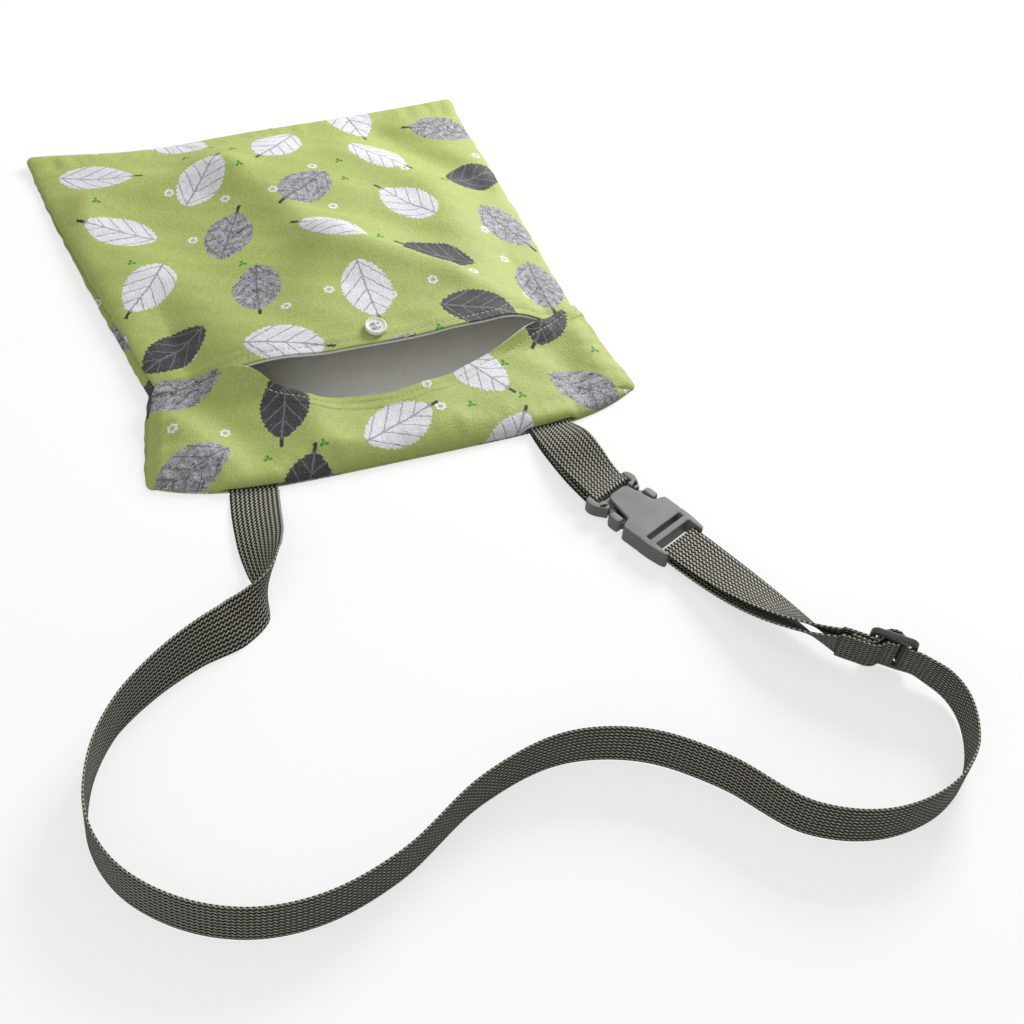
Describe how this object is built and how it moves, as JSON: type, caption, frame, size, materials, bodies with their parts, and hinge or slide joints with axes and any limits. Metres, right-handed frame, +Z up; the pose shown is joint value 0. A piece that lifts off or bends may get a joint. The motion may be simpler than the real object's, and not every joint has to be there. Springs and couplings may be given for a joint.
{
  "type": "peg bag",
  "caption": "Flat lined cotton pouch with an open mouth, worn on a webbing waist strap with a side-release buckle and a slider; it holds clothes pegs.",
  "frame": {"origin": "on the surface the bag lies on, under the middle of the pouch", "axes": "+Z up through the pouch's front face, +Y from the strap seam to the bottom seam, +X across the pouch to the buckle's side"},
  "size_m": [0.3984, 0.5891, 0.0351],
  "materials": {
    "printed_cotton": "matt woven cotton with a printed pattern",
    "lining_cotton": "matt plain woven cotton",
    "hem_thread": "sewing thread",
    "band_thread": "sewing thread",
    "button_thread": "sewing thread",
    "strap_thread": "sewing thread",
    "webbing": "woven polypropylene webbing",
    "grey_plastic": "satin moulded acetal",
    "dark_plastic": "satin moulded acetal",
    "white_plastic": "polished shirt-type button"
  },
  "bodies": {
    "bag": {"back_panel": "printed_cotton", "back_lining": "lining_cotton", "front_panel": "printed_cotton", "front_lining": "lining_cotton", "top_band": "printed_cotton", "band_lining": "lining_cotton", "front_hem_stitch": "hem_thread", "band_hem_stitch": "band_thread", "button": "white_plastic", "button_thread": "button_thread", "strap_long": "webbing", "strap_short": "webbing", "tail_stitch": "strap_thread", "slider": "dark_plastic", "buckle_socket": "grey_plastic", "plug_frame": "grey_plastic"},
    "prong_left": {"prong_left": "grey_plastic"},
    "prong_right": {"prong_right": "grey_plastic"}
  },
  "joints": [
    {"name": "prong_left_squeeze", "type": "hinge", "parent": "bag", "child": "prong_left", "pos_m": [0.09913, -0.21457, 0.0053], "axis": [0, 0, -1], "range_deg": [0, 7], "stiffness_Nm_per_rad": 0.05},
    {"name": "prong_right_squeeze", "type": "hinge", "parent": "bag", "child": "prong_right", "pos_m": [0.08061, -0.22263, 0.0053], "axis": [0, 0, 1], "range_deg": [0, 7], "stiffness_Nm_per_rad": 0.05}
  ],
  "couplings": [
    {"joint": "prong_right_squeeze", "follows": "prong_left_squeeze", "ratio": 1}
  ]
}
